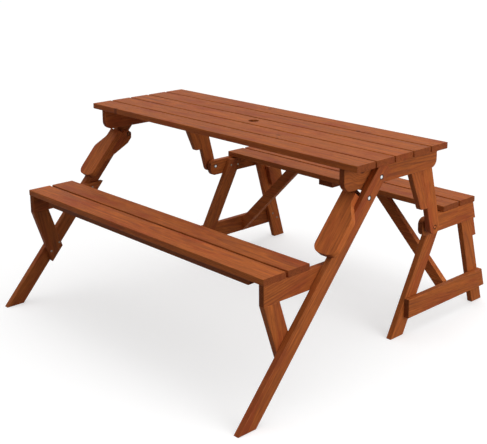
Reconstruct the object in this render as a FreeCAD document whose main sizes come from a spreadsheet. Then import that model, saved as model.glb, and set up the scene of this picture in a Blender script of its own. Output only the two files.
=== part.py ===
import FreeCAD, Part
import os
import re
import Sketcher

# A picnic table with two benches that folds into one garden bench with a back.
# X runs along the benches, Y from the front bench to the rear bench, Z up.
# The origin is on the ground, below the middle of the umbrella hole.
# Right hand pieces are modelled, and left hand ones are their mirror images.

# Driving sizes in millimetres, and angles in degrees.
SIZES = {
    # Timber
    "slat_thick": 21,
    "side_thick": 22,
    "batten_width": 72,
    "edge_round": 2.5,
    "edge_chamfer": 1.5,
    # Table top
    "table_top": 713,
    "table_length": 1370,
    "table_depth": 446,
    "slat_gap": 7,
    "umbrella_hole": 39,
    "umbrella_hole_room": 1,
    "apron_height": 75,
    "apron_front_inset": 4,
    "apron_rear_overhang": 18,
    "apron_front_round": 32,
    "apron_rear_round": 28,
    "table_batten_inset": 70,
    # Layers across the object, from the ends of the table inwards
    "end_overhang": 29,
    "hinge_washer": 1.5,
    "swing_gap": 1.5,
    "packer_thick": 8.5,
    "pivot_bush": 10,
    # Folding pivots and hinges
    "pivot_y": 288,
    "hinge_y": -73.04,
    "hinge_drop": 46,
    "hinge_offset": 6,
    "armbolt_drop": 56,
    # Backrest arms
    "arm_width": 52,
    "arm_lean": 14.5,
    "wedge_top_width": 72,
    "wedge_foot_width": 35,
    "wedge_drop": 227,
    "wedge_round": 9,
    "packer_inset": 7,
    "packer_length": 96,
    "packer_drop": 60,
    # Long legs of the front bench
    "leg_angle": 49,
    "leg_width": 52,
    "leg_top_reach": 42,
    "leg_top_round": 16,
    # Benches
    "seat_drop": 278,
    "seat_board": 89,
    "seat_gap": 10,
    "support_height": 64,
    "nest_gap": 1,
    "nest_clear": 1,
    "nest_space": 25.4,
    "batten_inset": 6,
    # Front bench
    "front_seat_reach": 239.75,
    "front_support_tail": 6,
    "front_support_inset": 1,
    "brace_lean": 18.3,
    "brace_width": 61,
    "rail_setback": 28,
    "rail_height": 30,
    "rail_inset": 65,
    "rail_round": 10,
    # Armrests
    "armrest_reach": 225,
    "armrest_length": 211,
    "armrest_width": 88,
    "armrest_neck": 53,
    "armrest_shoulder": 86,
    "armrest_waist": 34,
    "armrest_round": 30,
    "armrest_sweep": 28,
    "armrest_lift": 1,
    "armplate_reach": 142,
    "armplate_tip": 4,
    "armplate_eye": 12,
    "armplate_heel": 8,
    "armplate_crown": 16,
    "armplate_round": 7,
    "armplate_nose_drop": 21,
    "armplate_nose_back": 4,
    "armplate_nose_length": 26,
    "stop_block_height": 34,
    "stop_block_length": 64,
    # Rear bench
    "rear_support_nose": 27,
    "rear_support_round": 24,
    "trestle_angle": 61.6,
    "trestle_width": 58,
    "trestle_setback": 87.3,
    "rear_leg_angle": 74.4,
    "rear_leg_width": 57,
    "rear_leg_inset": 6.08,
    "trestle_top_gap": 4,
    "trestle_rail_z": 66,
    "trestle_rail_height": 68,
    "trestle_rail_nose": 5,
    "strut_setback": 55,
    "strut_spread": 356,
    "strut_width": 58,
    "ledge_height": 87,
    "ledge_reach": 49,
    "ledge_overlap": 24,
    "ledge_room": 1.2,
    # Fasteners
    "bolt_shank": 8,
    "bolt_room": 0.25,
    "bolt_tail": 0.7,
    "hex_across": 13,
    "hex_height": 5.3,
    "recess_across": 17.5,
    "recess_depth": 6,
    "washer_across": 20,
    "stop_bush": 11,
}

TABLE_SLATS = 5
SEAT_BOARDS = 2

# Places nearer than this are the same corner.
SAME_PLACE = 0.001

# Places that follow from the driving sizes.
LAYOUT = {
    "table_under": "table_top - slat_thick",
    "slat_width": "(table_depth - %d * slat_gap) / %d" % (TABLE_SLATS - 1, TABLE_SLATS),
    "apron_foot": "table_under - apron_height",
    "apron_front": "apron_front_inset - table_depth / 2",
    "apron_rear": "apron_rear_overhang + table_depth / 2",
    "seat_top": "table_top - seat_drop",
    "seat_depth": "%d * seat_board + %d * seat_gap" % (SEAT_BOARDS, SEAT_BOARDS - 1),
    "rear_seat_under": "seat_top - slat_thick",
    "front_seat_under": "rear_seat_under + nest_gap",
    # Layers
    "leg_face": "table_length / 2 - end_overhang",
    "leg_in": "leg_face - side_thick",
    "brace_in": "leg_in - side_thick",
    "apron_face": "leg_in - hinge_washer",
    "apron_in": "apron_face - side_thick",
    "armplate_face": "apron_in - swing_gap",
    "armplate_in": "armplate_face - side_thick",
    "arm_face": "apron_in - packer_thick",
    "arm_in": "arm_face - side_thick",
    "support_face": "arm_in - pivot_bush",
    "support_in": "support_face - side_thick",
    "trestle_in": "support_in - side_thick",
    "ledge_in": "trestle_in - side_thick",
    # The folded front seat lies just above the round ends of the arms
    "pivot_z": "front_seat_under - nest_clear - arm_width / 2",
    "hinge_z": "table_under - hinge_drop",
    "armbolt_z": "hinge_z - armbolt_drop",
    # Long leg, whose slope runs from the toe to the table
    "leg_run": "leg_width / sin(leg_angle)",
    "leg_toe": "hinge_y - leg_run / 2 - hinge_z / tan(leg_angle) - hinge_offset / sin(leg_angle)",
    "armbolt_y": "leg_toe + leg_run / 2 + armbolt_z / tan(leg_angle)",
    "armbolt_along": "armbolt_z / sin(leg_angle) + leg_width / 2 / tan(leg_angle)",
    "armrest_start": "armbolt_along - armrest_reach",
    "armrest_end": "armrest_start + armrest_length",
    "front_seat_edge": "leg_toe + front_seat_under / tan(leg_angle) - front_seat_reach",
    # Backrest arm
    "arm_run": "arm_width / cos(arm_lean)",
    "arm_top_y": "pivot_y - (table_under - pivot_z) * tan(arm_lean)",
    "wedge_foot_z": "table_under - wedge_drop",
    "wedge_foot_y": "pivot_y - (wedge_foot_z - pivot_z) * tan(arm_lean)",
    # Half turn of the fold: the hinge passes over the pivot to the same height behind it
    "fold_reach": "pivot_y - hinge_y",
    "fold_rise": "hinge_z - pivot_z",
    "fold_span": "fold_reach * fold_reach + fold_rise * fold_rise",
    "fold_cos": "(fold_rise * fold_rise - fold_reach * fold_reach) / fold_span",
    "fold_sin": "2 * fold_reach * fold_rise / fold_span",
    # Lowest edge of the folded backrest
    "back_edge_z": "pivot_z - (table_depth / 2 - pivot_y) * fold_sin + (table_top - pivot_z) * fold_cos",
    # Nose of the armrest plate once the bench is folded, seen from the table
    "nose_y": "armbolt_y - armplate_nose_back - hinge_y",
    "nose_z": "armbolt_z - armplate_nose_drop - hinge_z",
    "stop_y": "hinge_y + nose_y * fold_cos - nose_z * fold_sin",
    "stop_z": "hinge_z + nose_y * fold_sin + nose_z * fold_cos",
    # Rear bench, whose seat begins behind the folded front seat
    "rear_seat_edge": "front_seat_edge + 2 * fold_reach + seat_depth + nest_space",
    "trestle_run": "trestle_width / sin(trestle_angle)",
    "trestle_toe": "pivot_y + trestle_setback - trestle_run / 2 - pivot_z / tan(trestle_angle)",
    "trestle_top": "rear_seat_under - trestle_top_gap",
    "trestle_rail_top": "trestle_rail_z + trestle_rail_height",
    "trestle_rail_start": "trestle_toe + trestle_rail_top / tan(trestle_angle) - trestle_rail_nose",
    "rear_leg_run": "rear_leg_width / sin(rear_leg_angle)",
    "rear_leg_head": "rear_seat_edge + seat_depth - rear_leg_inset",
    "rear_leg_heel": "rear_leg_head + rear_seat_under / tan(rear_leg_angle)",
    "ledge_top": "back_edge_z - ledge_room",
    # Fasteners
    "bolt_radius": "bolt_shank / 2",
    "bolt_hole": "bolt_shank / 2 + bolt_room",
}

doc = FreeCAD.newDocument("ConvertiblePicnicBench")
nodes = []


def bound(formula):
    """Return the formula with each named size pointing at the object that holds it."""
    def home(match):
        word = match.group(0)
        if word in SIZES:
            return "Size." + word
        if word in LAYOUT:
            return "Layout." + word
        return word
    return re.sub(r"[a-z]\w*", home, str(formula))


def make_sheet():
    """Put the driving sizes into the spreadsheet."""
    sheet = doc.addObject("Spreadsheet::Sheet", "Size")
    for row, (alias, size) in enumerate(SIZES.items(), start=1):
        sheet.set("A%d" % row, alias)
        sheet.set("B%d" % row, str(size))
        sheet.setAlias("B%d" % row, alias)
    return sheet


def make_layout():
    """Put the places that follow from the sizes into a set of bound variables."""
    layout = doc.addObject("App::VarSet", "Layout")
    for name in LAYOUT:
        layout.addProperty("App::PropertyFloat", name)
    for name, formula in LAYOUT.items():
        layout.setExpression(name, bound(formula))
    return layout


def value(formula):
    """Return the present value of a formula."""
    return float(sheet.evalExpression(bound(formula)))


def keep(piece, label):
    """Name a finished sub-part and list it for export."""
    piece.Label = label
    nodes.append(piece)
    return piece


def add_sketch(body, role):
    """Attach a new sketch to one of the body's own origin planes."""
    sketch = body.newObject("Sketcher::SketchObject", body.Name + "_sketch")
    plane = [feature for feature in body.Origin.OriginFeatures if feature.Role == role][0]
    sketch.AttachmentSupport = (plane, [""])
    sketch.MapMode = "FlatFace"
    return sketch


def pin_point(sketch, geometry, end, across, up):
    """Tie a sketch point's two distances from the origin to formulas."""
    for kind, formula in (("DistanceX", across), ("DistanceY", up)):
        size = value(formula)
        index = sketch.addConstraint(Sketcher.Constraint(kind, -1, 1, geometry, end, size))
        sketch.setExpression("Constraints[%d]" % index, bound(formula))


def draw_outline(sketch, points):
    """Draw a closed outline of straight lines through points given as formulas."""
    corners = [FreeCAD.Vector(value(across), value(up), 0) for across, up in points]
    count = len(points)
    for index in range(count):
        sketch.addGeometry(Part.LineSegment(corners[index], corners[(index + 1) % count]))
    for index in range(count):
        sketch.addConstraint(Sketcher.Constraint("Coincident", index, 2, (index + 1) % count, 1))
    for index, (across, up) in enumerate(points):
        pin_point(sketch, index, 1, across, up)


def draw_circle(sketch, across, up, radius):
    """Draw a circle whose centre and radius are formulas."""
    centre = FreeCAD.Vector(value(across), value(up), 0)
    circle = Part.Circle(centre, FreeCAD.Vector(0, 0, 1), value(radius))
    index = sketch.addGeometry(circle)
    pin_point(sketch, index, 3, across, up)
    size = sketch.addConstraint(Sketcher.Constraint("Radius", index, value(radius)))
    sketch.setExpression("Constraints[%d]" % size, bound(radius))


def pad(body, sketch, length, centred=False):
    """Extrude a sketch to a length given as a formula."""
    feature = body.newObject("PartDesign::Pad", body.Name + "_pad")
    feature.Profile = sketch
    feature.Midplane = centred
    feature.setExpression("Length", bound(length))
    sketch.Visibility = False
    doc.recompute()
    return feature


def corner_edges(shape, corner):
    """Name the extruded edges that start at one corner of the outline."""
    names = []
    for index, edge in enumerate(shape.Edges, start=1):
        gaps = [abs(getattr(vertex.Point, axis) - place)
                for vertex in edge.Vertexes
                for axis, place in corner.items()]
        if len(edge.Vertexes) == 2 and max(gaps) < SAME_PLACE:
            names.append("Edge%d" % index)
    return names


def round_corners(body, corners, radius, axes="yz"):
    """Fillet the extruded edges at the given corners of the outline."""
    base = body.Tip
    names = []
    for across, up in corners:
        corner = {axes[0]: value(across), axes[1]: value(up)}
        names += corner_edges(base.Shape, corner)
    fillet = body.newObject("PartDesign::Fillet", body.Name + "_round")
    fillet.Base = (base, names)
    fillet.setExpression("Radius", bound(radius))
    doc.recompute()


def ease_sides(body):
    """Chamfer the outline of both flat sides of a side piece."""
    base = body.Tip
    sides = (0.0, value("side_thick"))
    names = []
    for index, edge in enumerate(base.Shape.Edges, start=1):
        box = edge.BoundBox
        flat = box.XLength < SAME_PLACE and min(abs(box.XMin - side) for side in sides) < SAME_PLACE
        if flat and len(edge.Vertexes) == 2:
            names.append("Edge%d" % index)
    chamfer = body.newObject("PartDesign::Chamfer", body.Name + "_ease")
    chamfer.Base = (base, names)
    chamfer.setExpression("Size", bound("edge_chamfer"))
    doc.recompute()


def drill(body, places, radius, role="YZ_Plane", depth=None, outer=False):
    """Cut round holes, right through or to a depth from the inner or the outer face."""
    before = body.Tip.Shape.Volume
    sketch = add_sketch(body, role)
    for across, up in places:
        draw_circle(sketch, across, up, radius)
    if outer:
        sketch.setExpression("AttachmentOffset.Base.z", bound("side_thick"))
    cut = body.newObject("PartDesign::Pocket", body.Name + "_holes")
    cut.Profile = sketch
    if depth:
        cut.setExpression("Length", bound(depth))
        cut.Reversed = not outer
    else:
        cut.Type = 1
        cut.Midplane = True
    sketch.Visibility = False
    doc.recompute()
    assert body.Tip.Shape.Volume < before - 1, "the holes of " + body.Label + " cut nothing"


def bolt_holes(body, heads=(), nuts=(), plain=()):
    """Drill for bolts, with recesses for heads in the outer face and for nuts in the inner."""
    drill(body, [*heads, *nuts, *plain], "bolt_hole")
    for places, outer in ((heads, True), (nuts, False)):
        if places:
            drill(body, places, "recess_across / 2", depth="recess_depth", outer=outer)


def mirrored(piece, label):
    """Make the left hand twin of a right hand piece."""
    twin = doc.addObject("Part::Mirroring", label)
    twin.Source = piece
    twin.Normal = (1, 0, 0)
    return keep(twin, label)


def both_hands(body, name, inner_face):
    """Put a right hand piece into its layer and keep it with its left hand twin."""
    body.setExpression("Placement.Base.x", bound(inner_face))
    keep(body, name + "_right")
    mirrored(body, name + "_left")


def side_piece(name, outline, inner_face, rounds=(), bolts=None):
    """Make a flat side board and its twin from the outline seen from the side.

    rounds holds (corners, radius) pairs, and bolts the arguments of bolt_holes.
    """
    body = doc.addObject("PartDesign::Body", name)
    sketch = add_sketch(body, "YZ_Plane")
    draw_outline(sketch, outline)
    pad(body, sketch, "side_thick")
    for corners, radius in rounds:
        round_corners(body, corners, radius)
    ease_sides(body)
    if bolts:
        bolt_holes(body, **bolts)
    both_hands(body, name, inner_face)


def long_board(name, start, width, under, length):
    """Make a board that runs along X, centred, with rounded long edges."""
    far = "%s + %s" % (start, width)
    top = "%s + slat_thick" % under
    corners = [(start, under), (far, under), (far, top), (start, top)]
    body = doc.addObject("PartDesign::Body", name)
    sketch = add_sketch(body, "YZ_Plane")
    draw_outline(sketch, corners)
    pad(body, sketch, length, centred=True)
    round_corners(body, corners, "edge_round")
    return keep(body, name)


def on_leg(along, out):
    """Place a point by its distance up the leg's front face and its distance out of it."""
    return ("leg_toe + (%s) * cos(leg_angle) - (%s) * sin(leg_angle)" % (along, out),
            "(%s) * sin(leg_angle) + (%s) * cos(leg_angle)" % (along, out))


def near_hinge(along, back):
    """Place a point by its distances along the leg and behind its line through the hinge."""
    return ("hinge_y + (%s) * cos(leg_angle) + (%s) * sin(leg_angle)" % (along, back),
            "hinge_z + (%s) * sin(leg_angle) - (%s) * cos(leg_angle)" % (along, back))


def rear_leg_back(height, behind="0"):
    """Place a point at a height, level behind the back edge of the trestle's rear leg."""
    return ("rear_leg_heel - (%s) / tan(rear_leg_angle) + (%s)" % (height, behind), height)


HINGE = ("hinge_y", "hinge_z")
PIVOT = ("pivot_y", "pivot_z")
ARMBOLT = ("armbolt_y", "armbolt_z")


def table_slats():
    """Make the boards of the table top, the middle one with the umbrella hole."""
    for number in range(TABLE_SLATS):
        start = "-table_depth / 2 + %d * (slat_width + slat_gap)" % number
        slat = long_board("table_slat_%d" % (number + 1), start, "slat_width", "table_under",
                          "table_length")
        if number == TABLE_SLATS // 2:
            drill(slat, [("0", "0")], "umbrella_hole / 2", role="XY_Plane")


def table_batten():
    """Make the batten that ties the slats together in the middle, with the umbrella hole."""
    body = doc.addObject("PartDesign::Body", "table_batten")
    sketch = add_sketch(body, "XY_Plane")
    half_width = "batten_width / 2"
    half_depth = "table_depth / 2 - table_batten_inset"
    corners = [("-" + half_width, "-(%s)" % half_depth), (half_width, "-(%s)" % half_depth),
               (half_width, half_depth), ("-" + half_width, half_depth)]
    draw_outline(sketch, corners)
    pad(body, sketch, "side_thick")
    drill(body, [("0", "0")], "umbrella_hole / 2 + umbrella_hole_room", role="XY_Plane")
    body.setExpression("Placement.Base.z", bound("table_under - side_thick"))
    keep(body, "table_batten")


def aprons():
    """Make the two rails under the ends of the table, which also frame the backrest."""
    foot_front = ("apron_front", "apron_foot")
    foot_rear = ("apron_rear", "apron_foot")
    outline = [foot_front, foot_rear, ("apron_rear", "table_under"), ("apron_front", "table_under")]
    side_piece("apron", outline, "apron_in", bolts={"nuts": [HINGE]},
               rounds=[([foot_front], "apron_front_round"), ([foot_rear], "apron_rear_round")])


def backrest_arms():
    """Make the arms that carry the table from the rear bench, rounded about the pivot."""
    half = "arm_width / 2"
    outline = [
        ("pivot_y - %s * cos(arm_lean)" % half, "pivot_z - %s * sin(arm_lean)" % half),
        ("pivot_y + %s * cos(arm_lean)" % half, "pivot_z + %s * sin(arm_lean)" % half),
        ("arm_top_y + arm_run / 2", "table_under"),
        ("arm_top_y - arm_run / 2", "table_under"),
    ]
    body = doc.addObject("PartDesign::Body", "backrest_arm")
    bar = add_sketch(body, "YZ_Plane")
    draw_outline(bar, outline)
    pad(body, bar, "side_thick")
    end = add_sketch(body, "YZ_Plane")
    draw_circle(end, PIVOT[0], PIVOT[1], half)
    pad(body, end, "side_thick")
    ease_sides(body)
    bolt_holes(body, heads=[PIVOT])
    both_hands(body, "backrest_arm", "arm_in")


def arm_wedges():
    """Make the wedges that stiffen the corner in front of each backrest arm."""
    front_foot = ("wedge_foot_y - arm_run / 2 - wedge_foot_width", "wedge_foot_z")
    outline = [
        front_foot,
        ("wedge_foot_y - arm_run / 2", "wedge_foot_z"),
        ("arm_top_y - arm_run / 2", "table_under"),
        ("arm_top_y - arm_run / 2 - wedge_top_width", "table_under"),
    ]
    side_piece("arm_wedge", outline, "arm_in", rounds=[([front_foot], "wedge_round")])


def arm_packers():
    """Make the thin packers between the aprons and the backrest arms."""
    rear = "apron_rear - packer_inset"
    front = rear + " - packer_length"
    top = "table_under - packer_inset"
    foot = top + " - packer_drop"
    body = doc.addObject("PartDesign::Body", "arm_packer")
    sketch = add_sketch(body, "YZ_Plane")
    draw_outline(sketch, [(front, foot), (rear, foot), (rear, top), (front, top)])
    pad(body, sketch, "packer_thick")
    both_hands(body, "arm_packer", "arm_face")


def armrest_stops():
    """Make the blocks on the aprons that the armrest plates lean on in the bench."""
    foot = "stop_z + swing_gap"
    front = "stop_y"
    rear = front + " + stop_block_length"
    top = foot + " + stop_block_height"
    outline = [(front, foot), (rear, foot), (rear, top), (front, top)]
    side_piece("armrest_stop", outline, "apron_in - side_thick")


def long_legs():
    """Make the long sloping legs that reach from the ground to the table hinges."""
    front = "leg_width / 2 + hinge_offset"
    rear = "leg_width / 2 - hinge_offset"
    reach = "leg_top_reach"
    rear_corner = near_hinge(reach, rear)
    top_corner = ("hinge_y + %s * (cos(leg_angle) - (1 - sin(leg_angle)) * tan(leg_angle))" % reach,
                  "hinge_z + " + reach)
    front_corner = ("hinge_y + (%s * cos(leg_angle) - (%s)) / sin(leg_angle)" % (reach, front),
                    "hinge_z + " + reach)
    outline = [("leg_toe", "0"), ("leg_toe + leg_run", "0"), rear_corner, top_corner, front_corner]
    side_piece("long_leg", outline, "leg_in", bolts={"heads": [HINGE, ARMBOLT]},
               rounds=[([rear_corner, top_corner], "leg_top_round")])


def front_supports():
    """Make the level supports under the ends of the front seat."""
    front = "front_seat_edge + front_support_inset"
    foot = "front_seat_under - support_height"
    tail = "leg_toe + leg_run + front_support_tail"
    outline = [(front, foot), (tail + " + (%s) / tan(leg_angle)" % foot, foot),
               (tail + " + front_seat_under / tan(leg_angle)", "front_seat_under"),
               (front, "front_seat_under")]
    side_piece("front_seat_support", outline, "brace_in")


def front_braces():
    """Make the short braces from the front of the supports back to the long legs."""
    front = "front_seat_edge + front_support_inset"
    top = "(front_seat_under - support_height)"
    run = "brace_width / cos(brace_lean)"
    meet = "(1 / tan(leg_angle) + tan(brace_lean))"

    def foot(start):
        height = "(%s + %s * tan(brace_lean) - leg_toe - leg_run) / %s" % (start, top, meet)
        return ("leg_toe + leg_run + (%s) / tan(leg_angle)" % height, height)

    outline = [(front, top), foot(front), foot("(%s + %s)" % (front, run)), (front + " + " + run, top)]
    side_piece("front_brace", outline, "brace_in")


def seat_boards(name, edge, under, length):
    """Make the boards of a seat, side by side."""
    for number in range(SEAT_BOARDS):
        start = "%s + %d * (seat_board + seat_gap)" % (edge, number)
        long_board("%s_board_%d" % (name, number + 1), start, "seat_board", under, length)


def seat_batten(name, front, rear, under):
    """Make the batten that ties a pair of seat boards together in the middle."""
    body = doc.addObject("PartDesign::Body", name)
    sketch = add_sketch(body, "XY_Plane")
    half = "batten_width / 2"
    draw_outline(sketch, [("-" + half, front), (half, front), (half, rear), ("-" + half, rear)])
    pad(body, sketch, "side_thick")
    body.setExpression("Placement.Base.z", bound(under + " - side_thick"))
    keep(body, name)


def front_seat():
    """Make the boards, rail and batten of the front bench."""
    seat_boards("front_seat", "front_seat_edge", "front_seat_under", "2 * leg_in")
    rail_foot = "front_seat_under - rail_height"
    rail_back = "front_seat_edge + rail_setback + side_thick"
    rail_half = "(brace_in - rail_inset)"
    body = doc.addObject("PartDesign::Body", "front_seat_rail")
    sketch = add_sketch(body, "XZ_Plane")
    feet = [("-" + rail_half, rail_foot), (rail_half, rail_foot)]
    draw_outline(sketch, feet + [(rail_half, "front_seat_under"), ("-" + rail_half, "front_seat_under")])
    pad(body, sketch, "side_thick")
    round_corners(body, feet, "rail_round", axes="xz")
    body.setExpression("Placement.Base.y", bound(rail_back))
    keep(body, "front_seat_rail")
    seat_batten("front_seat_batten", rail_back, "front_seat_edge + seat_depth - batten_inset",
                "front_seat_under")


def armrest_plates():
    """Make the wedge shaped plates that hang the armrests on the long legs."""
    middle = "-leg_width / 2"
    start = "armbolt_along - armplate_reach"
    eye = "armbolt_along + armplate_eye"
    nose_at = "armbolt_along - armplate_nose_back"
    nose_out = middle + " - armplate_nose_drop"
    tip = on_leg(start, "armrest_lift")
    tip_foot = on_leg(start, "armrest_lift - armplate_tip")
    nose_front = on_leg(nose_at + " - armplate_nose_length", nose_out)
    nose = on_leg(nose_at, nose_out)
    heel = on_leg(eye, middle + " - armplate_heel")
    crown = on_leg(eye, middle + " + armplate_crown")
    top_rear = on_leg("armrest_end", "armrest_lift")
    outline = [tip_foot, nose_front, nose, heel, crown, top_rear, tip]
    side_piece("armrest_plate", outline, "armplate_in", bolts={"nuts": [ARMBOLT]},
               rounds=[([nose_front, heel, crown], "armplate_round")])


def armrest_boards():
    """Make the armrest boards, which lie along the long legs until the bench is folded."""
    body = doc.addObject("PartDesign::Body", "armrest_board")
    sketch = add_sketch(body, "XY_Plane")
    inner = "armplate_in"
    outer = "armplate_in + armrest_width"
    neck = "armplate_in + armrest_neck"
    feet = [(inner, "armrest_start"), (outer, "armrest_start")]
    shoulder = (outer, "armrest_end - armrest_shoulder")
    waist = (neck, "armrest_end - armrest_waist")
    draw_outline(sketch, feet + [shoulder, waist, (neck, "armrest_end"), (inner, "armrest_end")])
    pad(body, sketch, "side_thick")
    round_corners(body, feet, "armrest_round", axes="xy")
    round_corners(body, [shoulder, waist], "armrest_sweep", axes="xy")
    tilt = "create(<<rotation>>; create(<<vector>>; 1; 0; 0); leg_angle)"
    lift = "create(<<vector>>; 0; leg_toe - armrest_lift * sin(leg_angle); armrest_lift * cos(leg_angle))"
    body.setExpression("Placement", bound("create(<<placement>>; %s; %s)" % (lift, tilt)))
    keep(body, "armrest_board_right")
    mirrored(body, "armrest_board_left")


def rear_supports():
    """Make the level supports under the ends of the rear seat, which hold the pivots."""
    foot = "rear_seat_under - support_height"
    nose = "pivot_y - rear_support_nose"
    front_corners = [(nose, foot), (nose, "rear_seat_under")]
    outline = [(nose, foot), rear_leg_back(foot), rear_leg_back("rear_seat_under"),
               (nose, "rear_seat_under")]
    side_piece("rear_seat_support", outline, "support_in", bolts={"nuts": [PIVOT]},
               rounds=[(front_corners, "rear_support_round")])


def trestle_legs():
    """Make the front and rear legs of the two trestles under the rear bench."""
    slope = "trestle_top / tan(trestle_angle)"
    outline = [("trestle_toe", "0"), ("trestle_toe + trestle_run", "0"),
               ("trestle_toe + trestle_run + " + slope, "trestle_top"),
               ("trestle_toe + " + slope, "trestle_top")]
    side_piece("trestle_front_leg", outline, "trestle_in")
    outline = [rear_leg_back("0", "-rear_leg_run"), rear_leg_back("0"),
               rear_leg_back("trestle_top"), rear_leg_back("trestle_top", "-rear_leg_run")]
    side_piece("trestle_rear_leg", outline, "trestle_in")


def trestle_rails():
    """Make the low rails that join the legs of each trestle."""
    outline = [("trestle_rail_start", "trestle_rail_z"), rear_leg_back("trestle_rail_z"),
               rear_leg_back("trestle_rail_top"), ("trestle_rail_start", "trestle_rail_top")]
    side_piece("trestle_rail", outline, "support_in")


def seat_struts():
    """Make the diagonal struts from the low rails up to the rear seat."""
    top_x = "support_in - strut_spread"
    slope = "(rear_seat_under - trestle_rail_z) / strut_spread"
    body = doc.addObject("PartDesign::Body", "seat_strut")
    sketch = add_sketch(body, "XZ_Plane")
    draw_outline(sketch, [(top_x, "rear_seat_under"),
                          ("support_in", "trestle_rail_z"),
                          ("support_in", "trestle_rail_z + strut_width * " + slope),
                          (top_x + " + strut_width", "rear_seat_under")])
    pad(body, sketch, "side_thick")
    body.setExpression("Placement.Base.y", bound("rear_seat_edge + strut_setback + side_thick"))
    keep(body, "seat_strut_right")
    mirrored(body, "seat_strut_left")


def ledge_blocks():
    """Make the blocks on the rear legs that carry the lower edge of the backrest."""
    foot = "ledge_top - ledge_height"
    outline = [rear_leg_back(foot, "-ledge_overlap"), rear_leg_back(foot, "ledge_reach"),
               rear_leg_back("ledge_top", "ledge_reach"), rear_leg_back("ledge_top", "-ledge_overlap")]
    side_piece("ledge_block", outline, "ledge_in")


def rear_seat():
    """Make the boards and batten of the rear bench."""
    seat_boards("rear_seat", "rear_seat_edge", "rear_seat_under", "2 * support_face")
    seat_batten("rear_seat_batten", "rear_seat_edge + batten_inset",
                "rear_seat_edge + seat_depth - batten_inset", "rear_seat_under")


def turned(kind, name, place, start, length, radius):
    """Make a round or six sided bar along X from its axis, start and length."""
    bar = doc.addObject(kind, name)
    if kind == "Part::Prism":
        bar.Polygon = 6
        bar.setExpression("Circumradius", bound(radius))
    else:
        bar.setExpression("Radius", bound(radius))
    bar.setExpression("Height", bound(length))
    bar.Placement.Rotation = FreeCAD.Rotation(FreeCAD.Vector(0, 1, 0), 90)
    bar.setExpression("Placement.Base.x", bound(start))
    bar.setExpression("Placement.Base.y", bound(place[0]))
    bar.setExpression("Placement.Base.z", bound(place[1]))
    return bar


def bolt(name, place, outer, inner):
    """Make a bolt with its head and its nut seated in the recesses of two faces."""
    hex_radius = "hex_across / 2 / cos(30)"
    head_seat = "%s - recess_depth" % outer
    nut_start = "%s + recess_depth - hex_height" % inner
    fuse = doc.addObject("Part::MultiFuse", name)
    fuse.Shapes = [
        turned("Part::Cylinder", name + "_shank", place, nut_start + " - bolt_tail",
               "%s - (%s) + bolt_tail" % (head_seat, nut_start), "bolt_radius"),
        turned("Part::Prism", name + "_head", place, head_seat, "hex_height", hex_radius),
        turned("Part::Prism", name + "_nut", place, nut_start, "hex_height", hex_radius),
    ]
    return fuse


def ring(name, place, start, length, outer):
    """Make a washer or bush along X that a bolt passes through."""
    cut = doc.addObject("Part::Cut", name)
    cut.Base = turned("Part::Cylinder", name + "_outside", place, start, length, outer)
    cut.Tool = turned("Part::Cylinder", name + "_bore", place, start, length, "bolt_hole")
    return cut


def both_sides(label, piece):
    """Gather a fastener and its mirror image into one node."""
    left = doc.addObject("Part::Mirroring", label + "_left_side")
    left.Source = piece
    left.Normal = (1, 0, 0)
    group = doc.addObject("Part::Compound", label)
    group.Links = [piece, left]
    keep(group, label)


def fasteners():
    """Make the pivot bolts with their bushes and washers."""
    both_sides("pivot_bolts", bolt("pivot_bolt", PIVOT, "arm_face", "support_in"))
    both_sides("pivot_bushes", ring("pivot_spacer", PIVOT, "support_face", "pivot_bush",
                                    "washer_across / 2"))
    both_sides("hinge_bolts", bolt("hinge_bolt", HINGE, "leg_face", "apron_in"))
    both_sides("hinge_washers", ring("hinge_spacer", HINGE, "apron_face", "hinge_washer",
                                     "washer_across / 2"))
    both_sides("armrest_bolts", bolt("armrest_bolt", ARMBOLT, "leg_face", "armplate_in"))
    both_sides("stop_bushes", ring("armrest_spacer", ARMBOLT, "armplate_face",
                                   "leg_in - armplate_face", "stop_bush / 2"))


def check_document():
    """Stop if any object failed or any sub-part has no sound shape."""
    doc.recompute()
    for item in doc.Objects:
        faults = [state for state in item.State if state in ("Invalid", "Error")]
        assert not faults, "%s is %s" % (item.Name, faults)
    for piece in nodes:
        assert not piece.Shape.isNull(), piece.Label + " has no shape"
        assert piece.Shape.isValid(), piece.Label + " is not valid"
        assert piece.Shape.Solids, piece.Label + " has no solid"


def write_parts():
    """Write each sub-part to its own file."""
    os.makedirs("parts", exist_ok=True)
    for piece in nodes:
        piece.Shape.exportStep("parts/%s.step" % piece.Label)
        print("%-26s %d solid(s)" % (piece.Label, len(piece.Shape.Solids)))


sheet = make_sheet()
layout = make_layout()
doc.recompute()

table_slats()
table_batten()
aprons()
backrest_arms()
arm_wedges()
arm_packers()
armrest_stops()
long_legs()
front_supports()
front_braces()
front_seat()
armrest_plates()
armrest_boards()
rear_supports()
trestle_legs()
trestle_rails()
seat_struts()
ledge_blocks()
rear_seat()
fasteners()
check_document()
write_parts()
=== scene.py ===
"""A folding picnic table with a bench on each side, in stained pine, as a table at rest."""

import math
import random

import bmesh
import bpy
import numpy as np
from mathutils import Matrix, Vector


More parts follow.
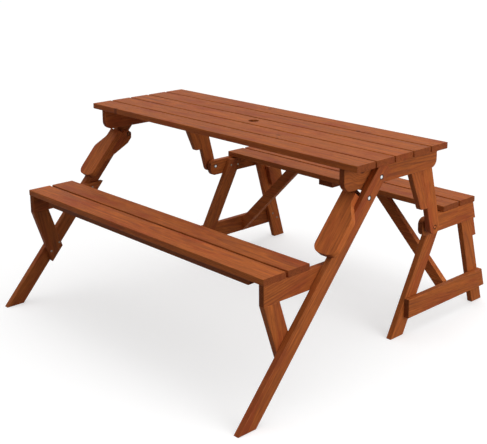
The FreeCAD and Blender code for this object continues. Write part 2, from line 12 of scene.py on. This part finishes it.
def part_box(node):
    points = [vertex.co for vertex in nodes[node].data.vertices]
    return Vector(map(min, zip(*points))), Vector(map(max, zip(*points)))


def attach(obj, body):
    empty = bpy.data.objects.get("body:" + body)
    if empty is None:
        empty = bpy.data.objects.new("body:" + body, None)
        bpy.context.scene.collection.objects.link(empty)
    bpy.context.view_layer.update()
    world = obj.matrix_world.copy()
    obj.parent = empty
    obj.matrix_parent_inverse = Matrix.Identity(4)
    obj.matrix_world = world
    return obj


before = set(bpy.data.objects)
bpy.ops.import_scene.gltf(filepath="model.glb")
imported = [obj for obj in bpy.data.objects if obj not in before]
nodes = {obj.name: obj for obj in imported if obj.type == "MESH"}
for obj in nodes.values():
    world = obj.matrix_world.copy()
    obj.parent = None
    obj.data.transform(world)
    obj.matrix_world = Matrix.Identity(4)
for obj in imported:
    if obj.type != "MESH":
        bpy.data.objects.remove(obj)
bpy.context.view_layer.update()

MM = 0.001

# Nodes with these endings are steel, and all others are wood.
STEEL_PARTS = ("bolts", "washers", "bushes")


# ---------------------------------------------------------------- colours


def rgb(red, green, blue):
    """A screen colour, 0 to 255, as the linear colour that shaders take."""
    parts = []
    for part in (red, green, blue):
        share = part / 255
        if share <= 0.04045:
            parts.append(share / 12.92)
        else:
            parts.append(((share + 0.055) / 1.055) ** 2.4)
    return (*parts, 1.0)


def grey(value):
    """A linear grey."""
    return (value, value, value, 1.0)


# ---------------------------------------------------------------- node trees

# The Mix node has sockets for each kind of value. These are the ones for colours.
MIX_SHARE, MIX_FIRST, MIX_SECOND = 0, 6, 7
MIX_RESULT = 2


def put(tree, kind, inputs=None, **settings):
    """A new node with its settings, and its inputs as values or as sockets that feed them."""
    node = tree.nodes.new(kind)
    for name, value in settings.items():
        setattr(node, name, value)
    for key, value in (inputs or {}).items():
        if isinstance(value, bpy.types.NodeSocket):
            tree.links.new(value, node.inputs[key])
        else:
            node.inputs[key].default_value = value
    return node


def calc(tree, operation, *values):
    """The result of a Math node."""
    inputs = dict(enumerate(values))
    return put(tree, "ShaderNodeMath", inputs, operation=operation).outputs[0]


def vector(tree, operation, *values):
    """The vector that a Vector Math node gives."""
    inputs = dict(enumerate(values))
    return put(tree, "ShaderNodeVectorMath", inputs, operation=operation).outputs["Vector"]


def measure(tree, operation, *values):
    """The number that a Vector Math node gives, such as a length or a dot product."""
    inputs = dict(enumerate(values))
    return put(tree, "ShaderNodeVectorMath", inputs, operation=operation).outputs["Value"]


def linear(tree, value, slope, start):
    """start plus slope times value."""
    return calc(tree, "MULTIPLY_ADD", value, slope, start)


def weighted_sum(tree, start, layers, weights):
    """start plus each layer that has a weight, times that weight."""
    total = start
    for name, weight in weights.items():
        if name in layers:
            total = linear(tree, layers[name], weight, total)
    return total


def smooth(tree, value, low, high):
    """0 at low, 1 at high, and a smooth step between. low may be the larger one."""
    step = put(
        tree,
        "ShaderNodeMapRange",
        {"Value": value, "From Min": low, "From Max": high},
        interpolation_type="SMOOTHSTEP",
    )
    return step.outputs["Result"]


def noise(tree, place, scale, detail=2.0, roughness=0.5):
    """The outputs of a Noise node that has its own scale along each axis."""
    scaled = vector(tree, "MULTIPLY", place, scale)
    inputs = {"Vector": scaled, "Scale": 1.0, "Detail": detail, "Roughness": roughness}
    return put(tree, "ShaderNodeTexNoise", inputs).outputs


def blend_colours(tree, share, first, second, kind="MIX"):
    """The first colour where share is 0, blended with the second as share goes to 1."""
    node = put(
        tree,
        "ShaderNodeMix",
        {MIX_SHARE: share, MIX_FIRST: first, MIX_SECOND: second},
        data_type="RGBA",
        blend_type=kind,
        clamp_factor=True,
    )
    return node.outputs[MIX_RESULT]


def ramp(tree, value, stops):
    """A ramp over 0 to 1, from pairs of a place and a grey."""
    node = put(tree, "ShaderNodeValToRGB", {"Fac": value})
    marks = node.color_ramp.elements
    while len(marks) < len(stops):
        marks.new(0.5)
    for mark, (place, shade) in zip(marks, stops):
        mark.position = place
        mark.color = grey(shade)
    return node.outputs["Color"]


def new_material(name):
    """A material with its node tree and its main shader."""
    made = bpy.data.materials.new(name)
    made.use_nodes = True
    return made, made.node_tree, made.node_tree.nodes["Principled BSDF"]


def feed_shader(tree, shader, colour, roughness, height, depth, strength):
    """Gives the shader its colour, its roughness and a bump that follows the height."""
    bump = put(
        tree,
        "ShaderNodeBump",
        {"Strength": strength, "Distance": depth, "Height": height},
    )
    tree.links.new(colour, shader.inputs["Base Color"])
    tree.links.new(roughness, shader.inputs["Roughness"])
    tree.links.new(bump.outputs["Normal"], shader.inputs["Normal"])


# ---------------------------------------------------------------- stained wood

EARLY_WOOD = rgb(174, 93, 40)
LATE_WOOD = rgb(106, 46, 20)
RED_WOOD = rgb(143, 65, 29)
KNOT = rgb(70, 28, 15)
WORN = rgb(200, 126, 76)
END_WOOD = rgb(112, 52, 28)

WOOD_SPECULAR = 0.16
WOOD_ROUGHNESS = 0.60
WOOD_BUMP_DEPTH = 0.4 * MM
WOOD_BUMP_STRENGTH = 0.5

# The grain wanders within a band of this width, after a noise with this scale per metre along
# the grain and across it.
WANDER = 30 * MM
WANDER_SCALE = (1.3, 5.0, 5.0)

# A year ring's width, by how many rings a noise shifts it, and how dark it is from its inner
# side, at 0, to its outer side, at 1.
RING_WIDTH = 4.6 * MM
RING_SHIFT = 1.6
RING_PROFILE = ((0.0, 0.45), (0.07, 0.0), (0.5, 0.12), (0.82, 0.75), (0.95, 1.0), (1.0, 0.45))

# The board is divided into cells, so many to a metre, and the cells whose random number is over
# the limit have a knot. A knot is full up to the first distance from its middle and ends at the
# second one, in cells, and so does the swelling round it, which pushes the rings outwards.
KNOT_CELLS = 5.2
KNOT_STRETCH = (0.75, 1.0, 1.0)
KNOT_LIMIT = 0.84
KNOT_RANGE = (0.022, 0.05)
SWELLING_RANGE = (0.02, 0.26)
SWELLING = 16 * MM

# Noise: scale per metre along the grain and across it, detail and roughness. The noise of the
# first table follows the wandering grain.
GRAIN_NOISE = {
    "uneven": (0.6, 26.0, 2.0, 0.5),
    "fibre": (22.0, 1300.0, 3.0, 0.6),
    "streak": (3.0, 190.0, 3.0, 0.5),
    "fleck": (14.0, 105.0, 3.0, 0.6),
    "dash": (36.0, 330.0, 2.0, 0.6),
}
STAIN_NOISE = {
    "mottle": (5.0, 17.0, 3.0, 0.55),
    "fade": (1.7, 8.0, 2.0, 0.5),
    "patches": (30.0, 60.0, 3.0, 0.5),
}

# The values of these noises from which they show and at which they show fully.
DASH_RANGE = (0.52, 0.70)
MOTTLE_RANGE = (0.42, 0.72)
PATCH_RANGE = (0.40, 0.66)

# How much a surface faces along the grain where it starts to be end grain and where it is,
# and how much it faces along its nearest axis where it is a rubbed edge and where it is flat.
END_RANGE = (0.72, 0.94)
EDGE_RANGE = (0.80, 0.985)

# Shares of a colour, as slope and start: the late wood's grows with the fade noise, the knot's
# with the late wood, and the worn one on edges with the patches.
LATE_SHARE = (0.75, 0.10)
KNOT_SHARE = (0.35, 0.45)
WORN_SHARE = (0.26, 0.02)

# How much of its own colours end grain shows, and of the dark one in its rings.
END_SHARE = 0.62
END_RINGS = 0.7

# What each layer multiplies the brightness by, as slope and start, and what it adds to the
# roughness and to the height of the bump.
BRIGHTNESS = {
    "fibre": (0.30, 0.85),
    "streak": (0.60, 0.70),
    "fleck": (0.80, 0.60),
    "dashes": (-0.22, 1.04),
    "mottle": (0.50, 0.75),
}
ROUGHNESS = {"late": -0.07, "fibre": 0.16, "end": 0.16, "rub": 0.25}
HEIGHT = {"late": 0.30, "fibre": 0.55, "streak": 0.45}


def noise_layers(tree, place, table):
    """The values of each noise of a table, by name."""
    layers = {}
    for name, (along, across, detail, roughness) in table.items():
        scale = (along, across, across)
        layers[name] = noise(tree, place, scale, detail, roughness)["Fac"]
    return layers


def knots(tree, place):
    """How much of a knot there is, and how much of the swelling round one."""
    cells = put(
        tree,
        "ShaderNodeTexVoronoi",
        {"Vector": vector(tree, "MULTIPLY", place, KNOT_STRETCH), "Scale": KNOT_CELLS},
        voronoi_dimensions="2D",
    ).outputs
    chance = put(tree, "ShaderNodeSeparateColor", {"Color": cells["Color"]}).outputs["Red"]
    chosen = calc(tree, "GREATER_THAN", chance, KNOT_LIMIT)
    shares = []
    for full, end in (KNOT_RANGE, SWELLING_RANGE):
        near = calc(tree, "SUBTRACT", 1.0, smooth(tree, cells["Distance"], full, end))
        shares.append(calc(tree, "MULTIPLY", near, chosen))
    return shares


def late_wood(tree, bent, swelling, uneven):
    """How much of the dark late wood there is, from rings round the X axis."""
    across = vector(tree, "MULTIPLY", bent, (0.0, 1.0, 1.0))
    radius = linear(tree, swelling, SWELLING, measure(tree, "LENGTH", across))
    ring = calc(tree, "MULTIPLY", radius, 1 / RING_WIDTH)
    ring = linear(tree, uneven, RING_SHIFT, ring)
    return ramp(tree, calc(tree, "FRACT", ring), RING_PROFILE)


def wood_group():
    """Stained softwood in board space: X runs along the grain, and the pith is the X axis."""
    tree = bpy.data.node_groups.new("stained_wood", "ShaderNodeTree")
    for name, way, kind in (
        ("Place", "INPUT", "NodeSocketVector"),
        ("Facing", "INPUT", "NodeSocketVector"),
        ("Tone and Light", "INPUT", "NodeSocketFloat"),
        ("Colour", "OUTPUT", "NodeSocketColor"),
        ("Roughness", "OUTPUT", "NodeSocketFloat"),
        ("Height", "OUTPUT", "NodeSocketFloat"),
    ):
        tree.interface.new_socket(name, in_out=way, socket_type=kind)
    given = tree.nodes.new("NodeGroupInput").outputs
    place = given["Place"]

    # The trunk bends and swells slowly along the board.
    wander = noise(tree, place, WANDER_SCALE)["Color"]
    wander = vector(tree, "SUBTRACT", wander, (0.5, 0.5, 0.5))
    wander = vector(tree, "MULTIPLY", wander, (0.0, WANDER, WANDER))
    bent = vector(tree, "ADD", place, wander)

    grain = noise_layers(tree, bent, GRAIN_NOISE)
    overlay = noise_layers(tree, place, STAIN_NOISE)
    knot, swelling = knots(tree, bent)
    late = late_wood(tree, bent, swelling, grain["uneven"])

    # The stain takes the late wood less evenly than the early wood.
    dark = calc(tree, "MULTIPLY", late, linear(tree, overlay["fade"], *LATE_SHARE))
    colour = blend_colours(tree, dark, EARLY_WOOD, LATE_WOOD)
    colour = blend_colours(tree, smooth(tree, overlay["mottle"], *MOTTLE_RANGE), colour, RED_WOOD)
    knot = calc(tree, "MULTIPLY", knot, linear(tree, late, *KNOT_SHARE))
    colour = blend_colours(tree, knot, colour, KNOT)

    # End grain drinks the stain and shows its rings.
    facing = vector(tree, "ABSOLUTE", given["Facing"])
    axes = put(tree, "ShaderNodeSeparateXYZ", {"Vector": facing}).outputs
    end = smooth(tree, axes["X"], *END_RANGE)
    rings = calc(tree, "MULTIPLY", late, END_RINGS)
    end_colour = blend_colours(tree, rings, END_WOOD, KNOT)
    colour = blend_colours(tree, calc(tree, "MULTIPLY", end, END_SHARE), colour, end_colour)

    # Handled edges are rubbed lighter: there the surface faces between two axes.
    flat = calc(tree, "MAXIMUM", calc(tree, "MAXIMUM", axes["X"], axes["Y"]), axes["Z"])
    edge = calc(tree, "SUBTRACT", 1.0, smooth(tree, flat, *EDGE_RANGE))
    patches = smooth(tree, overlay["patches"], *PATCH_RANGE)
    rub = calc(tree, "MULTIPLY", edge, linear(tree, patches, *WORN_SHARE))
    colour = blend_colours(tree, rub, colour, WORN)

    dashes = smooth(tree, grain["dash"], *DASH_RANGE)
    layers = {**grain, **overlay, "dashes": dashes, "late": late, "end": end, "rub": rub}
    factors = [linear(tree, layers[name], *change) for name, change in BRIGHTNESS.items()]
    # The board's tone scales the brightness, and on some boards it also paints light and shade.
    light = factors[0]
    for factor in (*factors[1:], given["Tone and Light"]):
        light = calc(tree, "MULTIPLY", light, factor)
    tint = put(tree, "ShaderNodeCombineColor", {"Red": light, "Green": light, "Blue": light})
    result = {
        "Colour": blend_colours(tree, 1.0, colour, tint.outputs["Color"], "MULTIPLY"),
        "Roughness": weighted_sum(tree, WOOD_ROUGHNESS, layers, ROUGHNESS),
        "Height": weighted_sum(tree, 0.0, layers, HEIGHT),
    }
    put(tree, "NodeGroupOutput", result)
    return tree


def wood(name, group, axes, shift, tone_and_light):
    """The wood of one board.

    axes are its grain, width and thickness directions, and shift moves the pith away from the
    board's middle.
    """
    made, tree, shader = new_material(name)
    turn = Matrix(axes).to_euler("XYZ")
    seen = tree.nodes.new("ShaderNodeTexCoord").outputs
    place = put(
        tree,
        "ShaderNodeMapping",
        {"Vector": seen["Object"], "Location": shift, "Rotation": turn},
    )
    facing = put(
        tree,
        "ShaderNodeMapping",
        {"Vector": seen["Normal"], "Rotation": turn},
        vector_type="VECTOR",
    )
    grain = put(
        tree,
        "ShaderNodeGroup",
        {"Place": place.outputs[0], "Facing": facing.outputs[0], "Tone and Light": tone_and_light},
        node_tree=group,
    ).outputs
    feed_shader(
        tree,
        shader,
        grain["Colour"],
        grain["Roughness"],
        grain["Height"],
        WOOD_BUMP_DEPTH,
        WOOD_BUMP_STRENGTH,
    )
    shader.inputs["Specular IOR Level"].default_value = WOOD_SPECULAR
    return made


# ---------------------------------------------------------------- boards

# A board across X that is thinner than this along X stands in a plane across it.
STANDING_BOARD = 40 * MM

# Each board is cut from the trunk at its own place along it and off its pith, in metres, and
# has its own brightness.
BOARD_SEED = 7
CUT_ALONG = (1.0, 9.0)
CUT_ASIDE = (-0.03, 0.03)
CUT_DEPTH = (0.05, 0.11)
BOARD_TONE = (0.93, 1.07)

# Boards that the photograph shows darker or lighter than the others.
# Each tone stands partly for the board's own tone and partly for painted light and shade: the
# far left leg and the front seat rail are darkened as painted shade, the armrests lightened as
# painted light.
TONES_AND_PAINTED_LIGHT = {
    "front_seat_rail": 0.66,
    "front_brace_left": 0.76,
    "front_seat_support_left": 0.88,
    "front_seat_support_right": 0.92,
    "long_leg_left": 0.82,
    "long_leg_right": 0.92,
    "apron_right": 0.92,
    "armrest_board_left": 1.10,
    "armrest_board_right": 1.18,
    "rear_seat_board_1": 0.92,
    "seat_strut_left": 1.30,
    "seat_strut_right": 1.30,
    "trestle_front_leg_left": 0.90,
    "trestle_front_leg_right": 1.06,
    "trestle_rear_leg_left": 1.25,
    "trestle_rear_leg_right": 1.10,
    "trestle_rail_left": 0.88,
}


def long_axis(mesh):
    """The direction in which the mesh's surface reaches furthest."""
    mesh.calc_loop_triangles()
    places = np.array([v.co for v in mesh.vertices])
    corners = places[[list(t.vertices) for t in mesh.loop_triangles]]
    areas = np.array([t.area for t in mesh.loop_triangles])
    middles = corners.mean(axis=1)
    offsets = middles - np.average(middles, axis=0, weights=areas)
    spread = (offsets * areas[:, None]).T @ offsets
    return Vector(np.linalg.eigh(spread)[1][:, -1])


def board_axes(node):
    """Grain, width and thickness directions of a board that lies along X or across it."""
    low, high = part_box(node)
    sizes = high - low
    if sizes.x > max(sizes.y, sizes.z):
        grain = Vector((1, 0, 0))
        flat = Vector((0, 0, 1)) if sizes.z < sizes.y else Vector((0, 1, 0))
    else:
        grain = long_axis(nodes[node].data)
        grain.x = 0.0
        grain.normalize()
        standing = sizes.x < STANDING_BOARD
        flat = Vector((1, 0, 0)) if standing else grain.cross(Vector((1, 0, 0)))
    return grain, flat.cross(grain), flat


def dress_boards():
    """Gives every wooden node its own cut of wood."""
    group = wood_group()
    chance = random.Random(BOARD_SEED)
    for name in sorted(nodes):
        if name.endswith(STEEL_PARTS):
            continue
        low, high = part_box(name)
        axes = board_axes(name)
        middle = Matrix(axes) @ ((low + high) / 2)
        side = chance.choice((-1, 1))
        along = chance.uniform(*CUT_ALONG)
        aside = chance.uniform(*CUT_ASIDE)
        depth = side * chance.uniform(*CUT_DEPTH)
        # A board's tone, which on some boards also paints the light and shade on them.
        tone_and_light = chance.uniform(*BOARD_TONE) * TONES_AND_PAINTED_LIGHT.get(name, 1.0)
        shift = Vector((along, aside, depth)) - middle
        made = wood(f"wood_{name}", group, axes, shift, tone_and_light)
        nodes[name].data.materials.clear()
        nodes[name].data.materials.append(made)


# ---------------------------------------------------------------- zinc steel

# The darkest and the lightest colour of the plate.
BRIGHT_ZINC = (rgb(186, 188, 190), rgb(230, 232, 234))
DULL_ZINC = (rgb(104, 92, 80), rgb(150, 138, 124))

ZINC_ROUGHNESS = 0.20
ZINC_BUMP_DEPTH = 0.05 * MM
ZINC_BUMP_STRENGTH = 0.35
ZINC_ROUGHNESS_LAYERS = {"spangle": 0.22, "painted_light": 0.30, "rubbed": 0.12}
SPANGLE_SCALE = (260.0, 260.0, 260.0)
SPANGLE_DETAIL = 3.0
RUBBED_SCALE = (3200.0, 900.0, 3200.0)

# Painted shade round a head, for the shadow in the recess there: the distances from the bolt's
# axis where it starts and where it is full, how much that edge wanders, and how fully it
# covers.
PAINTED_SHADE = rgb(44, 26, 17)
PAINTED_SHADE_RANGE = (5.1 * MM, 5.8 * MM)
PAINTED_SHADE_WANDER = 1.2 * MM
PAINTED_SHADE_COVER = 0.86

# Painted light on one end of a bolt: its colour, and the distances from the middle of the
# object, in mm, where it starts and where it is full. That is the end on the inner side of a
# leg, with painted shade, or the end on the outer side of a backrest arm, with a painted
# reflection of lit wood.
INNER_PAINTED_SHADE = (rgb(104, 60, 36), 640, 630)
OUTER_PAINTED_REFLECTION = (rgb(168, 92, 50), 570, 580)

# Bolts: the place of the axis along Y and Z, in mm, and the end with painted light.
BOLTS = {
    "hinge_bolts": ((-73.04, 646.0), INNER_PAINTED_SHADE),
    "armrest_bolts": ((-129.67, 590.0), INNER_PAINTED_SHADE),
    "pivot_bolts": ((288.0, 388.0), OUTER_PAINTED_REFLECTION),
}


def zinc(name, shades, bolt=None):
    """Zinc plate with soft spangles and a fine rubbed grain. A bolt has painted light on one
    end and painted shade round its head.
    """
    made, tree, shader = new_material(name)
    place = tree.nodes.new("ShaderNodeTexCoord").outputs["Object"]
    spangle = noise(tree, place, SPANGLE_SCALE, SPANGLE_DETAIL)["Fac"]
    rubbed = noise(tree, place, RUBBED_SCALE)["Fac"]
    colour = blend_colours(tree, spangle, *shades)
    layers = {"spangle": spangle, "rubbed": rubbed}
    if bolt:
        (axis_y, axis_z), (overlay, start, full) = bolt
        # One end of a bolt is painted: the end inside a leg with shade, the head outside a
        # backrest arm with the reflection of lit wood.
        at = put(tree, "ShaderNodeSeparateXYZ", {"Vector": place}).outputs
        reach = calc(tree, "ABSOLUTE", at["X"])
        painted_end = smooth(tree, reach, start * MM, full * MM)
        # A ring of painted shade round the head, a little way out from the bolt's axis.
        off = vector(tree, "SUBTRACT", place, (0.0, axis_y * MM, axis_z * MM))
        off = vector(tree, "MULTIPLY", off, (0.0, 1.0, 1.0))
        off = linear(tree, spangle, PAINTED_SHADE_WANDER, measure(tree, "LENGTH", off))
        painted_shade = smooth(tree, off, *PAINTED_SHADE_RANGE)
        colour = blend_colours(tree, painted_end, colour, overlay)
        colour = blend_colours(tree, calc(tree, "MULTIPLY", painted_shade, PAINTED_SHADE_COVER), colour, PAINTED_SHADE)
        layers["painted_light"] = calc(tree, "MAXIMUM", painted_shade, painted_end)
    rough = weighted_sum(tree, ZINC_ROUGHNESS, layers, ZINC_ROUGHNESS_LAYERS)
    feed_shader(tree, shader, colour, rough, rubbed, ZINC_BUMP_DEPTH, ZINC_BUMP_STRENGTH)
    shader.inputs["Metallic"].default_value = 1.0
    return made


def dress_steel():
    """Gives every steel node its zinc plate, and returns the dull one that the screws share."""
    worn = zinc("zinc_dull", DULL_ZINC)
    finishes = {
        name: zinc(f"zinc_{name.removesuffix('_bolts')}", BRIGHT_ZINC, bolt)
        for name, bolt in BOLTS.items()
    }
    for name in sorted(nodes):
        if name.endswith(STEEL_PARTS):
            nodes[name].data.materials.clear()
            nodes[name].data.materials.append(finishes.get(name, worn))
    return worn


# ---------------------------------------------------------------- screws

# A raised head, in mm: the radius and height of its rings, from inside the wood to the top,
# then the half width, reach and height of its cross recess, at the rim and at the bottom.
HEAD_RINGS = ((4.1, -0.5), (4.1, 0.15), (3.7, 0.55), (2.9, 0.85))
HEAD_SIDES = 24
CROSS_RINGS = ((0.55, 2.1, 0.9), (0.35, 1.5, -0.3))
CROSS_ARMS = 4
SCREW_SEED = 3

# Screws in faces that look inwards, the same on both sides, in mm: the body, the distance of
# the face from the middle, and the places along Y and Z.
SIDE_SCREWS = {
    "brace": ("front_bench", 612, ((-453.4, 211.1), (-490.2, 183.6))),
    "bench_support": ("front_bench", 612, ((-322, 366), (-292, 398))),
    "trestle": (
        "rear_bench",
        526,
        (
            (357.8, 385.5),
            (396, 382.6),
            (528, 384),
            (556, 380),
            (214, 112),
            (232, 88),
            (606, 112),
            (632, 88),
        ),
    ),
}

# Battens, their bodies, and the boards that they hold, with two screws to a board. The middle
# slat of the table has a hole there instead.
BATTEN_SCREWS = {
    "table_batten": ("table", [f"table_slat_{n}" for n in (1, 2, 4, 5)]),
    "front_seat_batten": ("front_bench", ["front_seat_board_1", "front_seat_board_2"]),
    "rear_seat_batten": ("rear_bench", ["rear_seat_board_1", "rear_seat_board_2"]),
}
# A screw's distance from the batten's middle line, in mm, and from the board's, as a share of
# the width that is held.
BATTEN_SCREW_ASIDE = 20
BATTEN_SCREW_ALONG = 0.2


def add_head(made, place, facing, spin):
    """Adds a raised head with a cross recess, seated at place and looking along facing."""
    seat = Matrix.Translation(place) @ facing.to_track_quat("Z", "Y").to_matrix().to_4x4()
    seat = seat @ Matrix.Rotation(spin, 4, "Z") @ Matrix.Scale(MM, 4)

    def ring(outline, repeats, height):
        """A closed loop of edges, made of the outline repeated round the head's axis."""
        verts = []
        for n in range(repeats):
            angle = math.tau * n / repeats
            cos, sin = math.cos(angle), math.sin(angle)
            for x, y in outline:
                point = Vector((x * cos - y * sin, x * sin + y * cos, height))
                verts.append(made.verts.new(seat @ point))
        return [made.edges.new(pair) for pair in zip(verts, verts[1:] + verts[:1])]

    rings = [ring([(radius, 0.0)], HEAD_SIDES, height) for radius, height in HEAD_RINGS]
    for half, reach, height in CROSS_RINGS:
        arm = [(reach, -half), (reach, half), (half, half)]
        rings.append(ring(arm, CROSS_ARMS, height))
    for outer, inner in zip(rings, rings[1:]):
        bmesh.ops.bridge_loops(made, edges=outer + inner)
    for end in (rings[0], rings[-1]):
        bmesh.ops.contextual_create(made, geom=end)


def screw_piece(name, body, heads, steel, chance):
    """One object with all the screws of a joint, riding on its body."""
    made = bmesh.new()
    for place, facing in heads:
        add_head(made, Vector(place) * MM, Vector(facing), chance.uniform(0.0, math.pi))
    bmesh.ops.recalc_face_normals(made, faces=made.faces)
    mesh = bpy.data.meshes.new(name)
    made.to_mesh(mesh)
    made.free()
    mesh.materials.append(steel)
    piece = bpy.data.objects.new(name, mesh)
    bpy.context.scene.collection.objects.link(piece)
    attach(piece, body)


def add_screws(steel):
    """Adds the screws of the side joints and of the battens."""
    chance = random.Random(SCREW_SEED)
    for joint, (body, face, places) in SIDE_SCREWS.items():
        for side, hand in ((-1, "left"), (1, "right")):
            heads = [((side * face, y, z), (-side, 0, 0)) for y, z in places]
            screw_piece(f"screws_{joint}_{hand}", body, heads, steel, chance)
    for batten, (body, boards) in BATTEN_SCREWS.items():
        low, high = (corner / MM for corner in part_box(batten))
        heads = []
        for board in boards:
            near, far = (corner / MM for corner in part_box(board))
            start, end = max(low.y, near.y), min(high.y, far.y)
            for side in (-1, 1):
                middle = (start + end) / 2 + side * (end - start) * BATTEN_SCREW_ALONG
                heads.append(((side * BATTEN_SCREW_ASIDE, middle, low.z), (0, 0, -1)))
        screw_piece(f"screws_{batten}", body, heads, steel, chance)


# ---------------------------------------------------------------- camera

# The photograph's camera: its place in metres, its turn in degrees, and in pixels its focal
# length, its frame, and the point of the frame that it looks straight at.
CAMERA_PLACE = (2.46606, -2.29621, 1.43040)
CAMERA_YAW = 46.10
CAMERA_PITCH = -13.81
CAMERA_ROLL = 0.15
FOCAL_PIXELS = 958.77
PHOTO_WIDTH = 487
PHOTO_HEIGHT = 444
VIEW_CENTRE = (269.05, 150.60)
SENSOR_WIDTH = 36.0
CLIP_END = 200.0


def make_camera():
    """The camera of the photograph."""
    lens = bpy.data.cameras.new("camera")
    lens.sensor_width = SENSOR_WIDTH
    lens.lens = FOCAL_PIXELS * SENSOR_WIDTH / PHOTO_WIDTH
    lens.shift_x = (PHOTO_WIDTH / 2 - VIEW_CENTRE[0]) / PHOTO_WIDTH
    lens.shift_y = (VIEW_CENTRE[1] - PHOTO_HEIGHT / 2) / PHOTO_WIDTH
    lens.clip_end = CLIP_END
    camera = bpy.data.objects.new("camera", lens)
    bpy.context.scene.collection.objects.link(camera)
    yaw, pitch = math.radians(CAMERA_YAW), math.radians(CAMERA_PITCH)
    level = math.cos(pitch)
    ahead = Vector((-math.sin(yaw) * level, math.cos(yaw) * level, math.sin(pitch)))
    turn = ahead.to_track_quat("-Z", "Y").to_matrix()
    roll = Matrix.Rotation(math.radians(CAMERA_ROLL), 3, ahead)
    camera.rotation_euler = (roll @ turn).to_euler()
    camera.location = CAMERA_PLACE
    bpy.context.scene.camera = camera


# ---------------------------------------------------------------- studio

WHITE = grey(1.0)

# Seen directly, the floor reflects this much light and glows this much. It reflects less onto
# the object.
FLOOR_SHOWN = 0.60
FLOOR_GLOW = 0.49
FLOOR_BOUNCE = 0.15
FLOOR_REACH = 60.0
FLOOR_DROP = 0.5 * MM

# A dim even sky with a wide soft key light from above. A higher focus makes the key narrower.
SKY_LIGHT = 0.15
KEY_LIGHT = 1.66
KEY_FROM = Vector((-0.06, 0.10, 0.99)).normalized()
KEY_FOCUS = 2.5

# A weak soft lamp at the right side.
SIDE_LAMP_WATTS = 28.0
SIDE_LAMP_SIZE = 1.6
SIDE_LAMP_PLACE = Vector((2.6, 0.2, 1.0))
SIDE_LAMP_AIM = Vector((0.3, 0.0, 0.35))


def split_by_ray(tree, output, light, background):
    """Gives the output the background for rays that show it, and the light for all others.

    The first are the camera's rays, and those that metal mirrors or glass lets through.
    """
    ray = tree.nodes.new("ShaderNodeLightPath").outputs
    shown = calc(tree, "MAXIMUM", ray["Is Camera Ray"], ray["Is Glossy Ray"])
    shown = calc(tree, "MAXIMUM", shown, ray["Is Transmission Ray"])
    inputs = {0: shown, 1: light.outputs[0], 2: background.outputs[0]}
    both = put(tree, "ShaderNodeMixShader", inputs)
    tree.links.new(both.outputs[0], tree.nodes[output].inputs["Surface"])


def make_floor():
    """A pale floor that shows the object's soft shadow."""
    mesh = bpy.data.meshes.new("floor")
    made = bmesh.new()
    bmesh.ops.create_grid(made, x_segments=1, y_segments=1, size=FLOOR_REACH)
    made.to_mesh(mesh)
    made.free()
    floor = bpy.data.objects.new("floor", mesh)
    bpy.context.scene.collection.objects.link(floor)
    floor.location.z = -FLOOR_DROP

    paint, tree, shader = new_material("floor")
    tree.nodes.remove(shader)
    dull = put(tree, "ShaderNodeBsdfDiffuse", {"Color": grey(FLOOR_BOUNCE)})
    pale = put(tree, "ShaderNodeBsdfDiffuse", {"Color": grey(FLOOR_SHOWN)})
    glow = put(tree, "ShaderNodeEmission", {"Color": WHITE, "Strength": FLOOR_GLOW})
    shown = put(tree, "ShaderNodeAddShader", {0: pale.outputs[0], 1: glow.outputs[0]})
    split_by_ray(tree, "Material Output", dull, shown)
    floor.data.materials.append(paint)


def make_light():
    """The sky with its key light, white where it is seen directly, and the side lamp."""
    world = bpy.data.worlds.new("studio")
    world.use_nodes = True
    bpy.context.scene.world = world
    tree = world.node_tree
    way = tree.nodes.new("ShaderNodeTexCoord").outputs["Generated"]
    cosine = measure(tree, "DOT_PRODUCT", way, tuple(KEY_FROM))
    key = calc(tree, "POWER", calc(tree, "MAXIMUM", cosine, 0.0), KEY_FOCUS)
    light = tree.nodes["Background"]
    light.inputs["Color"].default_value = WHITE
    tree.links.new(linear(tree, key, KEY_LIGHT, SKY_LIGHT), light.inputs["Strength"])
    white = put(tree, "ShaderNodeBackground", {"Color": WHITE, "Strength": 1.0})
    split_by_ray(tree, "World Output", light, white)

    lamp = bpy.data.lights.new("side", "AREA")
    lamp.energy = SIDE_LAMP_WATTS
    lamp.size = SIDE_LAMP_SIZE
    side = bpy.data.objects.new("side", lamp)
    side.location = SIDE_LAMP_PLACE
    side.rotation_euler = (SIDE_LAMP_PLACE - SIDE_LAMP_AIM).to_track_quat("Z", "Y").to_euler()
    side.visible_camera = False
    bpy.context.scene.collection.objects.link(side)


make_camera()
make_floor()
make_light()
dress_boards()
add_screws(dress_steel())
bpy.context.scene.view_settings.view_transform = "Standard"
